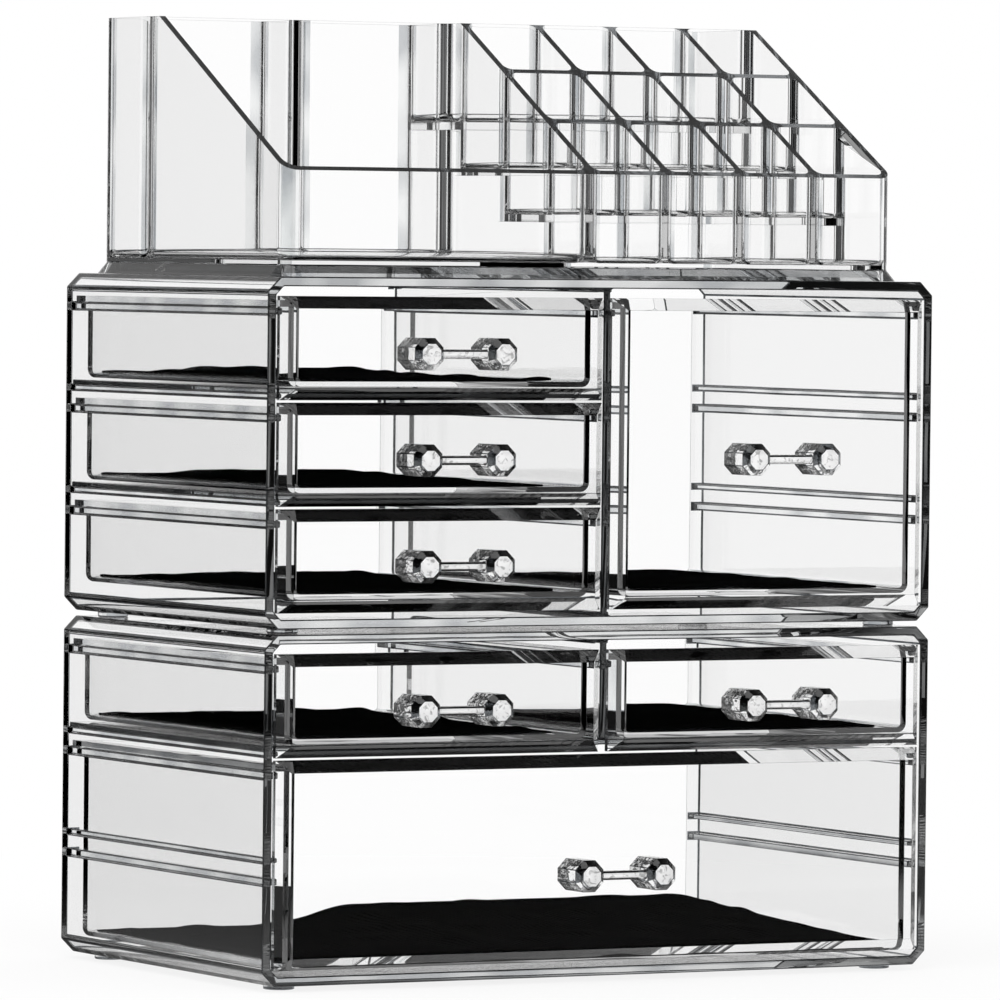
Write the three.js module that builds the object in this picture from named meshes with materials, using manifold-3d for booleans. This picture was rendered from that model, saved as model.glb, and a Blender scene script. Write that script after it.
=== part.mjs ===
// Clear make-up organiser: two stacked cases with seven drawers, and a compartment tray on top.
// Millimetres, +Z up. The drawers open towards -Y.
// The origin lies on the table, in the middle of the whole footprint, handles included.

import * as THREE from 'three';
import { mergeVertices } from 'three/addons/utils/BufferGeometryUtils.js';
import { ConvexGeometry } from 'three/addons/geometries/ConvexGeometry.js';
import Module from 'manifold-3d';

const wasm = await Module();
wasm.setup();

// Cases: two equal clear boxes, open at the front
const caseWidth = 240;
const caseDepth = 145;
const caseHeight = 109.4;
const caseWall = 3;
const caseBackWall = 1.8;
const caseChamfer = 4.4;
const caseInnerChamfer = 2.6;

// Feet: thin clear pads under the corners of each case
const footRadius = 5;
const footHeight = 1.7;
const footInset = 12;
const footFacets = 20;

// Rows: each case is three small drawers high
const rowCount = 3;
const rowMarginBottom = 4.6;
const rowMarginTop = 5.6;

// Guide ribs on the walls: a rail carries a drawer's flange, a ledge carries a shelf
const ribReach = 4;
const railDrop = 4;
const railThickness = 2.2;
const ledgeRise = 0.8;
const ledgeThickness = 1.6;
const shelfThickness = 1.8;
const shelfGap = 0.3;

// Dividers: upright plates between two low locating ribs
const dividerThickness = 2.4;
const dividerGap = 0.3;
const locatingRibWidth = 1.4;
const locatingRibHeight = 1.2;

// Drawers: a tub moulded in one with a thick bevelled front and a flange along each side
const frontProud = 3.9;
const frontBevel = 3.8;
const frontRecess = 1.8;
const frontSideGap = 1;
const frontRowGap = 0.7;
const frontDividerGap = 0.5;
const frontBackGap = 0.4;
const tubInset = 4.5;
const tubWall = 2;
const tubFloor = 1.6;
const tubCorner = 3;
const tubInnerCorner = 1.4;
const tubCornerFacets = 3;
const tubFloorGap = 0.4;
const tubBackGap = 0.7;
const flangeReach = 4.2;
const flangeThickness = 2;
const flangeGap = 0.3;

// Liners: loose black mats on the drawer floors
const linerThickness = 1.3;
const linerGap = 0.3;
const linerCorner = 2;

// Handles: two faceted knobs joined by a round bar, with a stud behind each knob
const knobAcrossFlats = 10.1;
const knobLength = 13.8;
const knobSpacing = 26;
const knobBevel = 1.9;
const knobFacets = 8;
const dishRadius = 3.1;
const dishDepth = 0.45;
const dishRings = 48;
const barRadius = 1.5;
const barDistance = 10.2;
const barFacets = 12;
const studRadius = 1.6;
const studLength = 3.4;
const studGap = 0.3;
const handleDrop = 1.5;
const wideHandleDrop = 4.7;

// Top tray
const trayWidth = 220.4;
const trayDepth = 130.5;
const trayHeight = 82.5;
const trayBackInset = 5.4;
const trayWall = 2.2;
const trayCorner = 5;
const trayLipHeight = 33.2;
const trayFlatTop = 41;
const trayFloorHeight = 5;
const trayFloorThickness = 2.4;
const trayFootFlare = 2.8;
const trayFootHeight = 3.5;
const trayCellCorner = 2.8;
const trayCellRound = 2;
const trayRoomCorner = 4.5;
const trayRoomRound = 3;
const trayRoundSteps = 3;
const trayCornerFacets = 4;
const trayRearDepth = 28;
const trayRearCells = 2;
const lipstickColumns = 4;
const lipstickTiers = 3;
const lipstickTierRise = 15.1;

// How far a cutting solid runs past what it cuts, and how deep a joined rib starts inside its wall
const overrun = 1;
const weld = 0.5;

// Values that follow from the sizes above
const rowPitch = (caseHeight - rowMarginBottom - rowMarginTop) / rowCount;
const caseFront = -caseDepth / 2;
const caseBackInside = caseDepth / 2 - caseBackWall;
const caseSideInside = caseWidth / 2 - caseWall;
const frontBack = caseFront + frontRecess;
const guideFront = frontBack + frontBackGap;
const shelfRise = ledgeRise + ledgeThickness;
const tubRise = shelfRise + shelfThickness + tubFloorGap;
const wideTubRise = frontRowGap / 2;
const flangeDrop = railDrop - flangeGap;
const halfFrontWidth = caseSideInside - frontSideGap - dividerThickness / 2 - frontDividerGap;
const fullFrontWidth = 2 * (caseSideInside - frontSideGap);

// The height of the boundary under a row, counted from the bottom of the case
function boundaryHeight(row) {
  return rowMarginBottom + row * rowPitch;
}

// Turns a closed three.js geometry into a solid that can be joined and cut
function solidOf(geometry) {
  const bare = geometry.index ? geometry.toNonIndexed() : geometry.clone();
  bare.deleteAttribute('normal');
  bare.deleteAttribute('uv');
  const merged = mergeVertices(bare);
  const mesh = new wasm.Mesh({
    numProp: 3,
    vertProperties: new Float32Array(merged.attributes.position.array),
    triVerts: new Uint32Array(merged.index.array),
  });
  return new wasm.Manifold(mesh);
}

// Turns a solid back into a three.js geometry with flat faces
function geometryOf(solid) {
  const mesh = solid.getMesh();
  const geometry = new THREE.BufferGeometry();
  geometry.setAttribute('position', new THREE.BufferAttribute(new Float32Array(mesh.vertProperties), 3));
  geometry.setIndex(new THREE.BufferAttribute(new Uint32Array(mesh.triVerts), 1));
  const flat = geometry.toNonIndexed();
  flat.computeVertexNormals();
  return flat;
}

// A box between two corners
function block(x0, x1, y0, y1, z0, z1) {
  const box = new THREE.BoxGeometry(x1 - x0, y1 - y0, z1 - z0);
  box.translate((x0 + x1) / 2, (y0 + y1) / 2, (z0 + z1) / 2);
  return solidOf(box);
}

// An outline drawn in X and Z, pushed along Y from y0 to y1
function prismAlongY(shape, y0, y1, facets) {
  const settings = { depth: y1 - y0, bevelEnabled: false, curveSegments: facets };
  const prism = new THREE.ExtrudeGeometry(shape, settings);
  prism.rotateX(Math.PI / 2);
  prism.translate(0, y1, 0);
  return solidOf(prism);
}

// An outline drawn in Y and Z, pushed along X from x0 to x1
function prismAlongX(shape, x0, x1, facets) {
  const settings = { depth: x1 - x0, bevelEnabled: false, curveSegments: facets };
  const prism = new THREE.ExtrudeGeometry(shape, settings);
  const turn = new THREE.Matrix4().makeBasis(
    new THREE.Vector3(0, 1, 0),
    new THREE.Vector3(0, 0, 1),
    new THREE.Vector3(1, 0, 0),
  );
  prism.applyMatrix4(turn);
  prism.translate(x0, 0, 0);
  return solidOf(prism);
}

// An outline drawn in X and Y, pushed up from z0 to z1
function prismAlongZ(shape, z0, z1, facets) {
  const settings = { depth: z1 - z0, bevelEnabled: false, curveSegments: facets };
  const prism = new THREE.ExtrudeGeometry(shape, settings);
  prism.translate(0, 0, z0);
  return solidOf(prism);
}

// A closed outline through hand-picked points
function outline(points) {
  return new THREE.Shape(points.map(([a, b]) => new THREE.Vector2(a, b)));
}

// A rectangle with its four corners cut at 45 degrees
function chamferedRectangle(x0, x1, z0, z1, chamfer) {
  return outline([
    [x0 + chamfer, z0],
    [x1 - chamfer, z0],
    [x1, z0 + chamfer],
    [x1, z1 - chamfer],
    [x1 - chamfer, z1],
    [x0 + chamfer, z1],
    [x0, z1 - chamfer],
    [x0, z0 + chamfer],
  ]);
}

// A rectangle with four round corners
function roundedRectangle(x0, x1, y0, y1, radius) {
  const shape = new THREE.Shape();
  shape.moveTo(x0 + radius, y0);
  shape.lineTo(x1 - radius, y0);
  shape.absarc(x1 - radius, y0 + radius, radius, -Math.PI / 2, 0, false);
  shape.lineTo(x1, y1 - radius);
  shape.absarc(x1 - radius, y1 - radius, radius, 0, Math.PI / 2, false);
  shape.lineTo(x0 + radius, y1);
  shape.absarc(x0 + radius, y1 - radius, radius, Math.PI / 2, Math.PI, false);
  shape.lineTo(x0, y0 + radius);
  shape.absarc(x0 + radius, y0 + radius, radius, Math.PI, 1.5 * Math.PI, false);
  return shape;
}

// The section of a tub: two rounded bottom corners, and a flange standing out on each side at the top
function tubSection(halfWidth, z0, z1, radius, flangeWidth) {
  const shape = new THREE.Shape();
  shape.moveTo(-halfWidth + radius, z0);
  shape.lineTo(halfWidth - radius, z0);
  shape.absarc(halfWidth - radius, z0 + radius, radius, -Math.PI / 2, 0, false);
  if (flangeWidth > 0) {
    shape.lineTo(halfWidth, z1 - flangeThickness);
    shape.lineTo(halfWidth + flangeWidth, z1 - flangeThickness);
  }
  shape.lineTo(halfWidth + flangeWidth, z1);
  shape.lineTo(-halfWidth - flangeWidth, z1);
  if (flangeWidth > 0) {
    shape.lineTo(-halfWidth - flangeWidth, z1 - flangeThickness);
    shape.lineTo(-halfWidth, z1 - flangeThickness);
  }
  shape.lineTo(-halfWidth, z0 + radius);
  shape.absarc(-halfWidth + radius, z0 + radius, radius, Math.PI, 1.5 * Math.PI, false);
  return shape;
}

// Clear styrene for the mouldings, black mesh for the liners
function clearPlastic() {
  return new THREE.MeshStandardMaterial({
    color: 0xeef1f2,
    roughness: 0.06,
    metalness: 0,
    transparent: true,
    opacity: 0.35,
  });
}

function blackMesh() {
  return new THREE.MeshStandardMaterial({ color: 0x17171a, roughness: 0.9, metalness: 0 });
}

function piece(name, solid, material) {
  const mesh = new THREE.Mesh(geometryOf(solid), material);
  mesh.name = name;
  return mesh;
}

// One guide rib along the depth, standing out from an upright wall face
function guideRib(wallFace, direction, z0, thickness) {
  const root = wallFace - direction * weld;
  const tip = wallFace + direction * ribReach;
  return block(Math.min(root, tip), Math.max(root, tip), guideFront, caseBackInside, z0, z0 + thickness);
}

function railRib(wallFace, direction, row) {
  return guideRib(wallFace, direction, boundaryHeight(row) - railDrop - railThickness, railThickness);
}

function ledgeRib(wallFace, direction, row) {
  return guideRib(wallFace, direction, boundaryHeight(row) + ledgeRise, ledgeThickness);
}

// The two low ribs on a level face that keep an upright divider in its place
function locatingRibs(levelFace, direction) {
  const root = levelFace - direction * weld;
  const tip = levelFace + direction * locatingRibHeight;
  const near = dividerThickness / 2 + dividerGap;
  const far = near + locatingRibWidth;
  const low = Math.min(root, tip);
  const high = Math.max(root, tip);
  const rib = (x0, x1) => block(x0, x1, guideFront, caseBackInside, low, high);
  return [rib(near, far), rib(-far, -near)];
}

// A case: a chamfered box with a closed back, ribs on both side walls and ribs for its divider
function makeCase(name, dividerOnFloor) {
  const outside = chamferedRectangle(-caseWidth / 2, caseWidth / 2, 0, caseHeight, caseChamfer);
  const inside = chamferedRectangle(
    -caseSideInside, caseSideInside, caseWall, caseHeight - caseWall, caseInnerChamfer,
  );
  let shell = prismAlongY(outside, caseFront, caseDepth / 2)
    .subtract(prismAlongY(inside, caseFront - overrun, caseBackInside));
  const ribs = locatingRibs(caseHeight - caseWall, -1);
  if (dividerOnFloor) {
    ribs.push(...locatingRibs(caseWall, 1));
  }
  for (const side of [-1, 1]) {
    const wallFace = side * caseSideInside;
    for (let row = 1; row < rowCount; row += 1) {
      ribs.push(railRib(wallFace, -side, row), ledgeRib(wallFace, -side, row));
    }
    ribs.push(railRib(wallFace, -side, rowCount));
  }
  for (const rib of ribs) {
    shell = shell.add(rib);
  }
  return piece(name, shell, clearPlastic());
}

// A divider: an upright plate from one level face to another, with the ribs that its drawers need
function makeDivider(name, z0, z1, ribs) {
  const half = dividerThickness / 2;
  let plate = block(-half, half, caseFront, caseBackInside - shelfGap, z0 + dividerGap, z1 - dividerGap);
  for (const rib of ribs) {
    plate = plate.add(rib);
  }
  const backOfRibs = block(-caseWidth, caseWidth, caseBackInside - shelfGap, caseDepth, 0, caseHeight);
  return piece(name, plate.subtract(backOfRibs), clearPlastic());
}

// A shelf: a flat plate that lies on the ledges of a row, behind the drawer fronts
function makeShelf(name, x0, x1, row, carriesDivider) {
  const z0 = boundaryHeight(row) + shelfRise;
  const z1 = z0 + shelfThickness;
  const back = caseBackInside - shelfGap;
  let plate = block(x0 + shelfGap, x1 - shelfGap, guideFront, back, z0, z1);
  if (carriesDivider) {
    for (const rib of locatingRibs(z1, 1)) {
      plate = plate.add(rib);
    }
    plate = plate.subtract(block(x0, x1, back, caseDepth, z0, caseHeight));
  }
  return piece(name, plate, clearPlastic());
}

// Four feet under a case, each a thin round pad
function makeFeet(caseName) {
  const feet = new THREE.Group();
  for (const [end, y] of [['front', -1], ['rear', 1]]) {
    for (const [side, x] of [['left', -1], ['right', 1]]) {
      const pad = new THREE.CylinderGeometry(footRadius, footRadius, footHeight, footFacets);
      pad.rotateX(Math.PI / 2);
      const foot = new THREE.Mesh(pad, clearPlastic());
      foot.name = `${caseName}_foot_${end}_${side}`;
      foot.position.set(x * (caseWidth / 2 - footInset), y * (caseDepth / 2 - footInset), -footHeight / 2);
      feet.add(foot);
    }
  }
  return feet;
}

// A handle, built with its studs on the line y = 0 of the drawer's front face
function makeHandle(name) {
  const cornerRadius = knobAcrossFlats / 2 / Math.cos(Math.PI / knobFacets);
  const knobProfile = [
    new THREE.Vector2(0, -knobLength),
    new THREE.Vector2(cornerRadius - knobBevel, -knobLength),
    new THREE.Vector2(cornerRadius, -knobLength + knobBevel),
    new THREE.Vector2(cornerRadius, 0),
    new THREE.Vector2(0, 0),
  ];
  const sphereRadius = (dishRadius ** 2 + dishDepth ** 2) / (2 * dishDepth);
  let handle = solidOf(new THREE.CylinderGeometry(barRadius, barRadius, knobSpacing, barFacets)
    .rotateZ(Math.PI / 2)
    .translate(0, -barDistance, 0));
  for (const side of [-1, 1]) {
    const x = side * knobSpacing / 2;
    const knob = new THREE.LatheGeometry(knobProfile, knobFacets, Math.PI / knobFacets);
    const stud = new THREE.CylinderGeometry(studRadius, studRadius, studLength + weld, barFacets);
    stud.translate(0, (studLength - weld) / 2, 0);
    const dish = new THREE.SphereGeometry(sphereRadius, 2 * barFacets, dishRings);
    dish.translate(0, -knobLength + dishDepth - sphereRadius, 0);
    const body = solidOf(knob).add(solidOf(stud)).subtract(solidOf(dish));
    handle = handle.add(body.translate([x, 0, 0]));
  }
  return piece(name, handle, clearPlastic());
}

// A drawer with its liner and handle. Its own origin is the middle of the front's bottom edge,
// on the case's front plane. The rise sets the underside of its tub, the drop lowers its handle.
function makeDrawer(name, width, rows, rise, drop) {
  const height = rows * rowPitch;
  const frontBottom = frontRowGap / 2;
  const frontTop = height - frontRowGap / 2;
  const handleHeight = height / 2 - drop;
  const halfWidth = width / 2;
  const corners = (inset, y) => [
    [-halfWidth + inset, frontBottom + inset],
    [halfWidth - inset, frontBottom + inset],
    [-halfWidth + inset, frontTop - inset],
    [halfWidth - inset, frontTop - inset],
  ].map(([x, z]) => new THREE.Vector3(x, y, z));
  const bevelledFront = solidOf(new ConvexGeometry([
    ...corners(0, frontRecess),
    ...corners(0, frontBevel - frontProud),
    ...corners(frontBevel, -frontProud),
  ]));

  const tubHalf = halfWidth - tubInset;
  const tubBack = caseBackInside - tubBackGap - caseFront;
  const tubTop = height - flangeDrop + flangeThickness;
  const tub = prismAlongY(
    tubSection(tubHalf, rise, tubTop, tubCorner, flangeReach),
    frontRecess - weld, tubBack, tubCornerFacets,
  );
  const hollow = prismAlongY(
    tubSection(tubHalf - tubWall, rise + tubFloor, tubTop + overrun, tubInnerCorner, 0),
    frontRecess, tubBack - tubWall, tubCornerFacets,
  );
  let body = bevelledFront.add(tub).subtract(hollow);
  const holeRadius = studRadius + studGap;
  const holeDepth = studLength + studGap;
  for (const side of [-1, 1]) {
    const hole = new THREE.CylinderGeometry(holeRadius, holeRadius, holeDepth + overrun, barFacets);
    hole.translate(side * knobSpacing / 2, -frontProud + (holeDepth - overrun) / 2, handleHeight);
    body = body.subtract(solidOf(hole));
  }

  const linerHalf = tubHalf - tubWall - tubInnerCorner - linerGap;
  const linerFront = frontRecess + linerGap;
  const linerBack = tubBack - tubWall - linerGap;
  const liner = prismAlongZ(
    roundedRectangle(-linerHalf, linerHalf, linerFront, linerBack, linerCorner),
    rise + tubFloor, rise + tubFloor + linerThickness, tubCornerFacets,
  );

  const drawer = new THREE.Group();
  const handle = makeHandle(`${name}_handle`);
  handle.position.set(0, -frontProud, handleHeight);
  drawer.add(piece(name, body, clearPlastic()), handle, piece(`${name}_liner`, liner, blackMesh()));
  return drawer;
}

// The top tray: a shell with a flared foot, cut out into compartments, and hollow under its tiers
function makeTray(name) {
  const right = trayWidth / 2;
  const rear = trayDepth / 2;
  const slantStart = rear - trayFlatTop;
  const sideView = outline([
    [-rear, 0],
    [rear, 0],
    [rear, trayHeight],
    [slantStart, trayHeight],
    [-rear, trayLipHeight],
  ]);
  const plan = roundedRectangle(-right, right, -rear, rear, trayCorner);
  let tray = prismAlongZ(plan, 0, trayHeight, trayCornerFacets)
    .intersect(prismAlongX(sideView, -trayWidth, trayWidth));
  const ring = (x0, x1, y0, y1, corner, z) => roundedRectangle(x0, x1, y0, y1, corner)
    .getPoints(trayCornerFacets)
    .map((point) => new THREE.Vector3(point.x, point.y, z));
  const flare = trayFootFlare;
  const foot = new ConvexGeometry([
    ...ring(-right - flare, right + flare, -rear - flare, rear + flare, trayCorner + flare, 0),
    ...ring(-right, right, -rear, rear, trayCorner, trayFootHeight),
  ]);
  tray = tray.add(solidOf(foot));

  const open = trayHeight + overrun;

  // A compartment, open at the top, with a round edge along its floor
  const cutOpen = (x0, x1, y0, y1, z0, corner, round) => {
    const points = ring(x0, x1, y0, y1, corner, open);
    for (let step = 0; step <= trayRoundSteps; step += 1) {
      const angle = (Math.PI / 2) * (step / trayRoundSteps);
      const inset = round * (1 - Math.sin(angle));
      const z = z0 + round * (1 - Math.cos(angle));
      points.push(...ring(x0 + inset, x1 - inset, y0 + inset, y1 - inset, corner - inset, z));
    }
    tray = tray.subtract(solidOf(new ConvexGeometry(points)));
  };
  const cutRoom = (x0, x1, y0, y1, z0) => cutOpen(x0, x1, y0, y1, z0, trayRoomCorner, trayRoomRound);
  const cutUnder = (x0, x1, y0, y1, top) => {
    const hollow = roundedRectangle(x0, x1, y0, y1, trayCellCorner);
    tray = tray.subtract(prismAlongZ(hollow, -overrun, top, trayCornerFacets));
  };
  const leftInside = -right + trayWall;
  const rightInside = right - trayWall;
  const rearInside = rear - trayWall;
  const frontInside = -rear + trayWall;
  const middle = trayWall / 2;

  const rearCellFront = rearInside - trayRearDepth;
  const rearCellWidth = (-middle - leftInside - (trayRearCells - 1) * trayWall) / trayRearCells;
  for (let cell = 0; cell < trayRearCells; cell += 1) {
    const x0 = leftInside + cell * (rearCellWidth + trayWall);
    cutRoom(x0, x0 + rearCellWidth, rearCellFront, rearInside, trayFloorHeight);
  }
  cutRoom(leftInside, -middle, frontInside, rearCellFront - trayWall, trayFloorHeight);

  const rearStripFloor = trayFloorHeight + lipstickTiers * lipstickTierRise;
  cutRoom(middle, rightInside, slantStart + trayWall, rearInside, rearStripFloor);
  const tierPitch = (slantStart - -rear) / lipstickTiers;
  const columnWidth = (rightInside - middle - (lipstickColumns - 1) * trayWall) / lipstickColumns;
  for (let tier = 0; tier < lipstickTiers; tier += 1) {
    const cellRear = slantStart - tier * tierPitch;
    const cellFloor = trayFloorHeight + (lipstickTiers - 1 - tier) * lipstickTierRise;
    for (let column = 0; column < lipstickColumns; column += 1) {
      const x0 = middle + column * (columnWidth + trayWall);
      const cellFront = cellRear - tierPitch + trayWall;
      cutOpen(x0, x0 + columnWidth, cellFront, cellRear, cellFloor, trayCellCorner, trayCellRound);
    }
  }

  cutUnder(leftInside, rightInside, frontInside, rearInside, trayFloorHeight - trayFloorThickness);
  for (let step = 1; step <= lipstickTiers; step += 1) {
    const hollowFront = slantStart - (lipstickTiers - step) * tierPitch + trayWall;
    const hollowTop = trayFloorHeight + step * lipstickTierRise - trayFloorThickness;
    cutUnder(middle, rightInside, hollowFront, rearInside, hollowTop);
  }
  return piece(name, tray, clearPlastic());
}

// Sets a drawer into a case, its front's bottom edge on the boundary of a row
function placeDrawer(parent, name, x, row, width, rows, rise = tubRise, drop = handleDrop) {
  const drawer = makeDrawer(name, width, rows, rise, drop);
  drawer.position.set(x, caseFront, boundaryHeight(row));
  parent.add(drawer);
}

const dividerFace = dividerThickness / 2;
const halfFrontCentre = dividerFace + frontDividerGap + halfFrontWidth / 2;

function makeUpperUnit() {
  const unit = new THREE.Group();
  unit.add(makeCase('upper_case', true), makeFeet('upper_case'));
  const ribs = [railRib(-dividerFace, -1, rowCount), railRib(dividerFace, 1, rowCount)];
  for (let row = 1; row < rowCount; row += 1) {
    ribs.push(railRib(-dividerFace, -1, row), ledgeRib(-dividerFace, -1, row));
    unit.add(makeShelf(`upper_shelf_${row}`, -caseSideInside, -dividerFace, row, false));
  }
  unit.add(makeDivider('upper_divider', caseWall, caseHeight - caseWall, ribs));
  for (let row = 0; row < rowCount; row += 1) {
    placeDrawer(unit, `small_drawer_${rowCount - row}`, -halfFrontCentre, row, halfFrontWidth, 1);
  }
  placeDrawer(unit, 'tall_drawer', halfFrontCentre, 0, halfFrontWidth, rowCount);
  return unit;
}

function makeLowerUnit() {
  const unit = new THREE.Group();
  const topRow = rowCount - 1;
  unit.add(makeCase('lower_case', false), makeFeet('lower_case'));
  unit.add(makeShelf('lower_shelf', -caseSideInside, caseSideInside, topRow, true));
  const shelfTop = boundaryHeight(topRow) + shelfRise + shelfThickness;
  const ribs = [railRib(-dividerFace, -1, rowCount), railRib(dividerFace, 1, rowCount)];
  unit.add(makeDivider('lower_divider', shelfTop, caseHeight - caseWall, ribs));
  placeDrawer(unit, 'small_drawer_left', -halfFrontCentre, topRow, halfFrontWidth, 1);
  placeDrawer(unit, 'small_drawer_right', halfFrontCentre, topRow, halfFrontWidth, 1);
  placeDrawer(unit, 'wide_drawer', 0, 0, fullFrontWidth, topRow, wideTubRise, wideHandleDrop);
  return unit;
}

const organiser = new THREE.Group();
const lowerUnit = makeLowerUnit();
const upperUnit = makeUpperUnit();
const topTray = makeTray('top_tray');
lowerUnit.position.z = footHeight;
upperUnit.position.z = footHeight + caseHeight + footHeight;
topTray.position.z = upperUnit.position.z + caseHeight;
topTray.position.y = caseDepth / 2 - trayBackInset - trayDepth / 2;
organiser.add(lowerUnit, upperUnit, topTray);
organiser.position.y = (frontProud + knobLength) / 2;

export default organiser;
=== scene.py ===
import math

import bmesh
import bpy
from mathutils import Matrix, Vector, noise


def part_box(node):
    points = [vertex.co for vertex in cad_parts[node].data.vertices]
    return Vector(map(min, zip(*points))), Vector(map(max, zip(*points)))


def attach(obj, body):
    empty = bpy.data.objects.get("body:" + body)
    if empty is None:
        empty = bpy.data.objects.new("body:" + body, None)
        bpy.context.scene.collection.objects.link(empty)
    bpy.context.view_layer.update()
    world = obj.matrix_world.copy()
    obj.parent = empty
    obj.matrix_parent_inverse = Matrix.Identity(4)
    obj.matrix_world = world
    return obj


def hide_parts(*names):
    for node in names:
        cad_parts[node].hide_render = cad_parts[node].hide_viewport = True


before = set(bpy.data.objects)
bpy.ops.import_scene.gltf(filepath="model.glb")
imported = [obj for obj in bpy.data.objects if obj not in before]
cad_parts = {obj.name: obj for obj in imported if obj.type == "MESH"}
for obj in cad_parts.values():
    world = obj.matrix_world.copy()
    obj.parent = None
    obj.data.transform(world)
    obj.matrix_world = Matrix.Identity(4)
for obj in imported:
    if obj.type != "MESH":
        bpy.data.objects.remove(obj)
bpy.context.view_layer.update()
scene = bpy.context.scene

# The two cases: boxes open at the front, each moulded in one piece of clear acrylic, and stacked
# with nothing but their own weight to hold them. Their edges leave the mould with a fine radius.
# The lines round a clear box come partly from these radii and the depth of plastic behind them,
# and partly from painted shade: the radii are tinted dark and the rims grey.
EDGE_RADIUS = 0.0004
ROUNDING_STEPS = 2
SHARP = math.radians(35)  # an edge that turns more than this is rounded
FLAT = math.radians(0.5)  # faces that turn less than this become one
SAME_POINT = 0.000002  # corners nearer to each other than this become one
AIR_FILM = 0.00002  # taken off every face, so that stacked pieces keep air between them
NARROW = 0.0032  # the width up to which a face counts as a rim or a rib's end
REFRACTION = 1.49  # of acrylic
PATCHES = 60.0  # per metre, in a plastic that has two tints
DEPTH_TINT = "#808284"  # what a long way through the plastic turns white light to


def linear(colour):
    """Red, green, blue and alpha of an sRGB hex colour, as linear light."""
    parts = [int(colour[i : i + 2], 16) / 255 for i in (1, 3, 5)]
    return [*(c / 12.92 if c <= 0.04045 else ((c + 0.055) / 1.055) ** 2.4 for c in parts), 1.0]


def empty_tree(owner):
    """The node tree of a new material or world, with nothing in it yet."""
    owner.use_nodes = True
    owner.node_tree.nodes.clear()
    return owner.node_tree


def node(tree, kind, links=None, **settings):
    """Adds a node, sets its properties and sockets by name, and links its inputs."""
    made = tree.nodes.new("ShaderNode" + kind)
    for name, value in settings.items():
        if hasattr(made, name):
            setattr(made, name, value)
        else:
            made.inputs[name.replace("_", " ")].default_value = value
    for name, source in (links or {}).items():
        tree.links.new(source, made.inputs[name])
    return made


def clear_plastic(name, tints, glint, flow, flow_size, loss):
    """A clear moulded plastic with one tint or patches of two.

    Its surface has flow marks that are flow metres high and flow_size metres long, and loss is how
    much it dims per metre.
    """
    material = bpy.data.materials.new(name)
    tree = empty_tree(material)
    place = node(tree, "TexCoord").outputs["Object"]
    marks = node(tree, "TexNoise", {"Vector": place}, Scale=1 / flow_size, Detail=1.0)
    relief = node(tree, "Bump", {"Height": marks.outputs[0]}, Strength=1.0, Distance=flow)
    links = {"Normal": relief.outputs[0]}
    if len(tints) == 2:
        patches = node(tree, "TexNoise", {"Vector": place}, Scale=PATCHES, Detail=0.0)
        share = node(tree, "MapRange", {"Value": patches.outputs[0]}, From_Min=0.35, From_Max=0.65)
        tint = node(
            tree, "Mix", {"Factor": share.outputs[0]}, data_type="RGBA", A=linear(tints[0]),
            B=linear(tints[1]),
        )
        links["Base Color"] = tint.outputs["Result"]
    body = node(
        tree, "BsdfPrincipled", links, Base_Color=linear(tints[0]), Roughness=0.0, IOR=REFRACTION,
        Transmission_Weight=1.0, Specular_Tint=linear(glint),
    )
    depth = node(tree, "VolumeAbsorption", Color=linear(DEPTH_TINT), Density=loss)
    node(tree, "OutputMaterial", {"Surface": body.outputs[0], "Volume": depth.outputs[0]})
    return material


def moulded(name, edge, rim, flow, flow_size, loss):
    """Three looks of a clear plastic: broad faces, and rounded edges and rims in painted shade."""
    return [
        clear_plastic(name + ", " + part, tints, glint, flow, flow_size, loss)
        for part, tints, glint in (
            ("broad", ("#ffffff",), "#444444"),
            ("rounded edge", edge, "#ffffff"),
            ("narrow", rim, "#ffffff"),
        )
    ]


def is_narrow(face):
    """Whether a face is about as narrow as the plastic is thick."""
    return 2 * face.calc_area() / face.calc_perimeter() < NARROW


def look_of(face):
    """2 for a rim, a rib's end or the middle of a round corner, or else 0, the broad look."""
    squareness = max(abs(part) for part in face.normal)
    return 2 if is_narrow(face) and not 0.9 < squareness < 0.999 else 0


def new_piece(name, form, *materials):
    """A new object at the origin, made of a finished form and its materials."""
    mesh = bpy.data.meshes.new(name)
    form.to_mesh(mesh)
    form.free()
    for material in materials:
        mesh.materials.append(material)
    piece = bpy.data.objects.new(name, mesh)
    scene.collection.objects.link(piece)
    return piece


def moulding(name, materials, body="root", look=look_of):
    """A clear part as it leaves the mould: the CAD node's form with its sharp edges rounded."""
    form = bmesh.new()
    form.from_mesh(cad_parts[name].data)
    bmesh.ops.remove_doubles(form, verts=form.verts, dist=SAME_POINT)
    bmesh.ops.dissolve_limit(
        form, angle_limit=FLAT, use_dissolve_boundaries=False, verts=form.verts, edges=form.edges,
    )
    for face in form.faces:
        face.material_index = look(face)
    bmesh.ops.connect_verts_concave(form, faces=form.faces)
    edges = [e for e in form.edges if e.calc_face_angle(0) > SHARP]
    rounded = bmesh.ops.bevel(
        form, geom=edges, offset=EDGE_RADIUS, offset_type="OFFSET", segments=ROUNDING_STEPS,
        profile=0.5, affect="EDGES", clamp_overlap=True, material=-1,
    )
    for face in rounded["faces"]:
        face.material_index = 1
    form.normal_update()
    for v in form.verts:
        v.co -= v.normal * v.calc_shell_factor() * AIR_FILM
    for face in form.faces:
        face.smooth = True
    piece = new_piece(name + "_moulding", form, *materials)
    weighted = piece.modifiers.new("Even faces", "WEIGHTED_NORMAL")
    weighted.weight = 100
    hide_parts(name)
    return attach(piece, body)


# Acrylic from a polished mould: its broad faces are all but unseen. Its rounded edges are tinted
# dark in patches, a painted shade for the dark lines with bright breaks in them, and its rims are
# tinted pale grey, a painted shade for the plastic's depth.
clear_acrylic = moulded(
    "Clear acrylic, moulded", ("#101214", "#484c50"), ("#b4b8bc", "#f4f6f6"), 0.00004, 0.03, 1.5,
)
for name in ("lower_case", "upper_case"):
    moulding(name, clear_acrylic)
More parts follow.
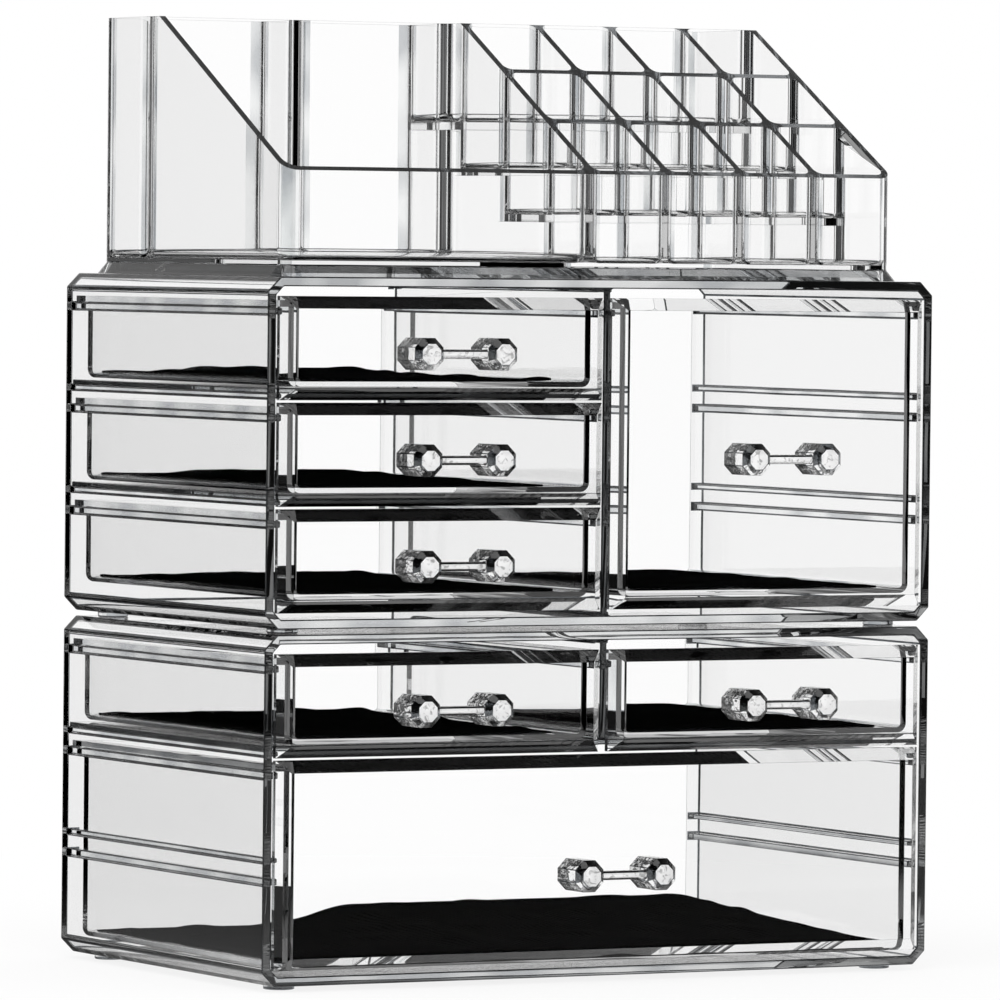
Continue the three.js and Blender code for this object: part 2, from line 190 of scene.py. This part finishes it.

# The feet: thin round pads of clear vinyl, stuck under the corners of each case. They lift the
# lower case off the table and keep a dark gap between the two cases.
# Vinyl is milkier than acrylic, so it dims more along its depth, and the pads' rounded edges and
# rims are tinted grey as painted shade, so that they come out as pale grey discs.
clear_vinyl = moulded(
    "Clear vinyl, moulded", ("#60646a", "#a0a4aa"), ("#b0b4b8", "#f0f2f2"), 0.00004, 0.01, 20.0,
)
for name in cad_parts:
    if "_foot_" in name:
        moulding(name, clear_vinyl)

# The shelves and dividers: flat plates of the cases' own acrylic, slid into the cases between ribs
# before the drawers go in. The dividers have guide ribs for the drawers, as the cases do.
for name in ("lower_shelf", "lower_divider", "upper_shelf_1", "upper_shelf_2", "upper_divider"):
    moulding(name, clear_acrylic)

# The drawers: clear acrylic tubs, each moulded in one piece with a thick bevelled front and with
# the two flanges by which it hangs and slides on the ribs beside it.
DRAWERS = (
    "small_drawer_1", "small_drawer_2", "small_drawer_3", "tall_drawer", "small_drawer_left",
    "small_drawer_right", "wide_drawer",
)
for name in DRAWERS:
    moulding(name, clear_acrylic, name)

# The handles: two eight-sided knobs of clear acrylic joined by a round bar, in one moulding, with
# a stud behind each knob that goes into the drawer's front. The knobs' faces are dished.
SWIRLS = 400.0  # per metre: the dishes' frosting has marks of about 2.5 mm


def look_of_knob(face):
    """2 for the slanting facets over a knob's face, 3 for the dish in its face, or else 0."""
    if 0.6 < -face.normal.y < 0.8 and face.normal.z > -0.2:
        return 2
    return 3 if -face.normal.y > 0.9 else 0


# Faceted acrylic: its upper facets are tinted nearly black, a painted reflection of the dark parts
# of a room, its rounded edges are tinted dark as painted shade, and its short flow marks break up
# what shows through the knobs.
faceted_acrylic = moulded(
    "Clear acrylic, faceted", ("#0c0e10", "#60646a"), ("#020303", "#3a3e42"), 0.0001, 0.0016, 1.5,
)

# Frosted acrylic scatters the light, so the dishes are white with a few grey swirls.
frosted_acrylic = bpy.data.materials.new("Clear acrylic, frosted")
tree = empty_tree(frosted_acrylic)
place = node(tree, "TexCoord").outputs["Object"]
swirl = node(tree, "TexNoise", {"Vector": place}, Scale=SWIRLS, Detail=2.0, Distortion=1.5)
tint = node(
    tree, "MapRange", {"Value": swirl.outputs[0]}, From_Min=0.32, From_Max=0.46, To_Min=0.45,
    To_Max=1.0,
)
frost = node(
    tree, "BsdfPrincipled", {"Base Color": tint.outputs[0]}, Roughness=0.35, IOR=REFRACTION,
    Transmission_Weight=0.25,
)
node(tree, "OutputMaterial", {"Surface": frost.outputs[0]})

for name in DRAWERS:
    knobs = [*faceted_acrylic, frosted_acrylic]
    moulding(name + "_handle", knobs, name, look_of_knob)

# The liners: loose mats of black mesh, cut a little smaller than the drawers' floors and laid on
# them. They were rolled for packing, so they stay slightly wavy and their back edges stay up.
LINER_THICKNESS = 0.0006
LINER_CORNER = 0.004
LINER_MARGIN = 0.0001  # between a mat and the floor under it
LINER_GRID = 64
RIPPLES = (65, 55)  # per metre, across and along a mat
LIFT_STARTS = -0.22  # the share of the width, from the middle, where the back edge begins to rise
LIFT_WIDTH = 0.14  # the share of the width over which it rises
# For each mat: its ripples' height, its back edge's lift, and how much narrower it is cut.
LINER_SHAPES = {
    "small_drawer_1": (0.0008, 0.0014, 0.0085),
    "small_drawer_2": (0.0006, 0.0010, 0.0110),
    "small_drawer_3": (0.0005, 0.0006, 0.0070),
    "tall_drawer": (0.0004, 0.0, 0.0060),
    "small_drawer_left": (0.0006, 0.0, 0.0070),
    "small_drawer_right": (0.0005, 0.0, 0.0060),
    "wide_drawer": (0.0008, 0.0060, 0.0),
}
MESH_PITCH = 0.0024  # the real cords are about 1 mm apart: drawn coarser, or they wouldn't show
WAVE_UNIT = math.pi / 10  # the length of one band of a wave texture at scale 1

# Glass-fibre mesh coated with black PVC: dull, with no glint at all, so that the mats are the
# darkest things in the picture, and a faint grey weave shows only from above.
coated_mesh = bpy.data.materials.new("Black PVC-coated mesh")
tree = empty_tree(coated_mesh)
place = node(tree, "TexCoord").outputs["Object"]
weave = dict(
    wave_type="BANDS", wave_profile="SIN", Scale=WAVE_UNIT / MESH_PITCH, Distortion=0.6, Detail=1.0,
    Detail_Scale=2.0,
)
warp = node(tree, "TexWave", {"Vector": place}, bands_direction="X", **weave)
weft = node(tree, "TexWave", {"Vector": place}, bands_direction="Y", **weave)
cords = node(tree, "Math", {0: warp.outputs["Fac"], 1: weft.outputs["Fac"]}, operation="MAXIMUM")
dust = node(tree, "TexNoise", {"Vector": place}, Scale=60.0, Detail=3.0)
shade = node(tree, "Math", {0: cords.outputs[0], 1: dust.outputs[0]}, operation="MULTIPLY")
tone = node(
    tree, "Mix", {"Factor": shade.outputs[0]}, data_type="RGBA", A=linear("#040405"),
    B=linear("#161618"),
)
relief = node(tree, "Bump", {"Height": cords.outputs[0]}, Strength=1.0, Distance=0.0002)
cloth = node(
    tree, "BsdfPrincipled", {"Base Color": tone.outputs["Result"], "Normal": relief.outputs[0]},
    Roughness=1.0, Specular_IOR_Level=0.0,
)
node(tree, "OutputMaterial", {"Surface": cloth.outputs[0]})

for number, (name, (ripple, lift, short)) in enumerate(LINER_SHAPES.items()):
    curl = 1.4 if name == "wide_drawer" else 5.0
    low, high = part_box(name + "_liner")
    width, length = high.x - low.x - short, high.y - low.y
    form = bmesh.new()
    bmesh.ops.create_grid(form, x_segments=LINER_GRID, y_segments=LINER_GRID, size=0.5)
    for v in form.verts:
        x, y = v.co.x * width, v.co.y * length
        out = Vector((
            max(0.0, abs(x) - width / 2 + LINER_CORNER),
            max(0.0, abs(y) - length / 2 + LINER_CORNER),
        ))
        if out.x > 0 and out.y > 0:
            pull = max(out) / out.length
            x -= math.copysign(out.x * (1 - pull), x)
            y -= math.copysign(out.y * (1 - pull), y)
        back = 0.5 + v.co.y
        across = min(1.0, max(0.0, (v.co.x - LIFT_STARTS) / LIFT_WIDTH))
        rise = lift * back ** curl * across ** 2 * (3 - 2 * across)
        wave = max(0.0, noise.noise(Vector((x * RIPPLES[0], y * RIPPLES[1], number * 7.0))))
        height = low.z + LINER_MARGIN + ripple * 2 * wave + rise
        v.co = (low.x + width / 2 + x, (low.y + high.y) / 2 + y, height)
    for face in form.faces:
        face.smooth = True
    mat = new_piece(name + "_mat", form, coated_mesh)
    thick = mat.modifiers.new("Thickness", "SOLIDIFY")
    thick.thickness = LINER_THICKNESS
    thick.offset = 1.0
    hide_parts(name + "_liner")
    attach(mat, name)


# The top tray: open compartments and stepped lipstick cells in one thin-walled moulding of clear
# acrylic, which stands on the upper case by its flared rim.
def look_of_rim(face):
    """3 for the rims on top of the walls, and the look of the other mouldings elsewhere."""
    return 3 if face.normal.z > 0.7 and is_narrow(face) else look_of(face)


# The tops of the walls are tinted dark grey, a painted shade for the dark grey lines they make
# when seen nearly edge on.
rim_in_painted_shade = clear_plastic(
    "Clear acrylic, rim in painted shade", ("#26282a", "#707478"), "#ffffff", 0.00004, 0.03, 1.5,
)
moulding("top_tray", [*clear_acrylic, rim_in_painted_shade], look=look_of_rim)

# The studio: a white room with soft light from every side. The camera sees it white, also straight
# through the plastic. What the plastic mirrors is darker: the ceiling, the side behind the camera,
# the left a little, and a black card at the back left, so that the side walls don't veil the mats.
CARD = (-0.475, 0.88, 0.0)  # the way to the card, which the cases' left walls mirror

room = bpy.data.worlds.new("Studio")
scene.world = room
tree = empty_tree(room)
path = node(tree, "LightPath").outputs
toward = node(tree, "TexCoord").outputs["Generated"]
x, y, z = node(tree, "SeparateXYZ", {"Vector": toward}).outputs
mirrored_often = node(
    tree, "MapRange", {"Value": path["Glossy Depth"]}, From_Min=2.0, From_Max=6.0, To_Min=1.0,
    To_Max=0.2,
)
front = node(tree, "MapRange", {"Value": y}, From_Min=-0.35, From_Max=0.15, To_Min=0.1, To_Max=1.0)
ceiling = node(
    tree, "MapRange", {"Value": z}, From_Min=0.3, From_Max=0.6, To_Min=1.0, To_Max=0.3,
    interpolation_type="SMOOTHSTEP",
)
left = node(tree, "MapRange", {"Value": x}, From_Min=-0.45, From_Max=-0.15, To_Min=0.75, To_Max=1.0)
# After six surfaces the card is white again, or the far walls would go dark too.
deep = node(
    tree, "MapRange", {"Value": path["Transmission Depth"]}, From_Min=6.0, From_Max=7.0, To_Min=0.0,
)
card = node(tree, "VectorMath", {0: toward}, operation="DOT_PRODUCT")
card.inputs[1].default_value = CARD
card = node(
    tree, "MapRange", {"Value": card.outputs["Value"], "To Max": deep.outputs[0]}, From_Min=0.93,
    From_Max=0.98, To_Min=1.0,
)
mirror = mirrored_often
for part in (front, ceiling, left, card):
    mirror = node(tree, "Math", {0: mirror.outputs[0], 1: part.outputs[0]}, operation="MULTIPLY")
for_plastic = node(
    tree, "MapRange", {"Value": path["Glossy Depth"], "To Max": mirror.outputs[0]}, To_Min=1.0,
)
by_plastic = node(
    tree, "Math", {0: path["Is Glossy Ray"], 1: path["Is Transmission Ray"]}, operation="MAXIMUM",
)
for_rest = node(
    tree, "MapRange", {"Value": by_plastic.outputs[0], "To Max": for_plastic.outputs[0]},
    To_Min=0.95,
)
strength = node(
    tree, "MapRange", {"Value": path["Is Camera Ray"], "To Min": for_rest.outputs[0]}, To_Max=1.0,
)
glow = node(tree, "Background", {"Strength": strength.outputs[0]}, Color=linear("#ffffff"))
node(tree, "OutputWorld", {"Surface": glow.outputs[0]})

# The floor: a sheet of white paper that runs out into the white room. It glows white to the camera
# and through the plastic, keeping a faint share of the organiser's soft shadow near it. Where the
# plastic mirrors it, its glow is a painted reflection: grey, and black on the card's side.
# Uncoated paper is matt, so there is no reflection under the feet.
FLOOR_HALF = 1.2  # half its width
SHADOW_FADES = (0.2, 0.5)  # how far from the middle the shadow begins to fade, and where it is gone

white_paper = bpy.data.materials.new("White paper sweep")
tree = empty_tree(white_paper)
path = node(tree, "LightPath").outputs
place = node(tree, "TexCoord").outputs["Object"]
distance = node(tree, "VectorMath", {0: place}, operation="LENGTH").outputs["Value"]
far = node(
    tree, "MapRange", {"Value": distance}, From_Min=SHADOW_FADES[0], From_Max=SHADOW_FADES[1],
    To_Min=0.85, To_Max=1.0, interpolation_type="SMOOTHSTEP",
)
seen = node(
    tree, "Math", {0: path["Is Camera Ray"], 1: path["Is Glossy Ray"]}, operation="MAXIMUM",
)
seen = node(tree, "Math", {0: seen.outputs[0], 1: path["Is Transmission Ray"]}, operation="MAXIMUM")
share = node(tree, "Math", {0: seen.outputs[0], 1: far.outputs[0]}, operation="MULTIPLY")
paper = node(tree, "BsdfDiffuse", Color=linear("#f6f6f6"))
beside = node(tree, "VectorMath", {0: place}, operation="DOT_PRODUCT")
beside.inputs[1].default_value = CARD
card_side = node(
    tree, "MapRange", {"Value": beside.outputs["Value"]}, From_Min=0.04, From_Max=0.13, To_Min=0.7,
    To_Max=0.0,
)
strength = node(
    tree, "MapRange", {"Value": path["Glossy Depth"], "To Max": card_side.outputs[0]}, To_Min=1.0,
)
glow = node(tree, "Emission", {"Strength": strength.outputs[0]}, Color=linear("#ffffff"))
mixed = node(tree, "MixShader", {0: share.outputs[0], 1: paper.outputs[0], 2: glow.outputs[0]})
node(tree, "OutputMaterial", {"Surface": mixed.outputs[0]})
form = bmesh.new()
bmesh.ops.create_grid(form, x_segments=1, y_segments=1, size=FLOOR_HALF)
new_piece("floor", form, white_paper)

# The lamp: one large softbox over the left front, which gives the feet and the cases their shadow.
# Light goes through many thin walls here, so it may pass and bounce far more often than usual.
LAMP_PLACE = (-0.5, -0.5, 1.7)
LAMP_AIM = Vector((0, 0, 0.1))
LAMP_SIZE = (1.2, 1.0)
LAMP_WATTS = 9.0
BOUNCES = 64

lamp = bpy.data.objects.new("Overhead softbox", bpy.data.lights.new("Overhead softbox", "AREA"))
lamp.data.shape = "RECTANGLE"
lamp.data.size, lamp.data.size_y = LAMP_SIZE
lamp.data.energy = LAMP_WATTS
lamp.location = LAMP_PLACE
lamp.rotation_euler = (LAMP_AIM - lamp.location).to_track_quat("-Z", "Y").to_euler()
scene.collection.objects.link(lamp)
scene.view_settings.view_transform = "Standard"
scene.cycles.max_bounces = BOUNCES
scene.cycles.transmission_bounces = BOUNCES
scene.cycles.glossy_bounces = BOUNCES

# The camera: a long lens from the front left and a little above, nearly level, and far enough away
# that the upright edges stay upright. Its place was fitted to the corners of the two cases.
LENS = 309.8
SENSOR = 36
CAMERA_PLACE = (-1.32184, -2.44036, 0.23341)
CAMERA_AIM = (28.38, 1.713, -0.60)  # degrees to the right of straight back, down, and tipped

yaw, pitch, roll = (math.radians(a) for a in CAMERA_AIM)
camera = bpy.data.objects.new("Camera", bpy.data.cameras.new("Camera"))
camera.data.lens = LENS
camera.data.sensor_width = SENSOR
camera.data.clip_end = 50
level = math.cos(pitch)
forward = Vector((math.sin(yaw) * level, math.cos(yaw) * level, -math.sin(pitch)))
right = Vector((math.cos(yaw), -math.sin(yaw), 0))
down = forward.cross(right)
right_rolled = right * math.cos(roll) + down * math.sin(roll)
down_rolled = -right * math.sin(roll) + down * math.cos(roll)
turn = Matrix((right_rolled, -down_rolled, -forward)).transposed().to_4x4()
camera.matrix_world = Matrix.Translation(CAMERA_PLACE) @ turn
scene.collection.objects.link(camera)
scene.camera = camera
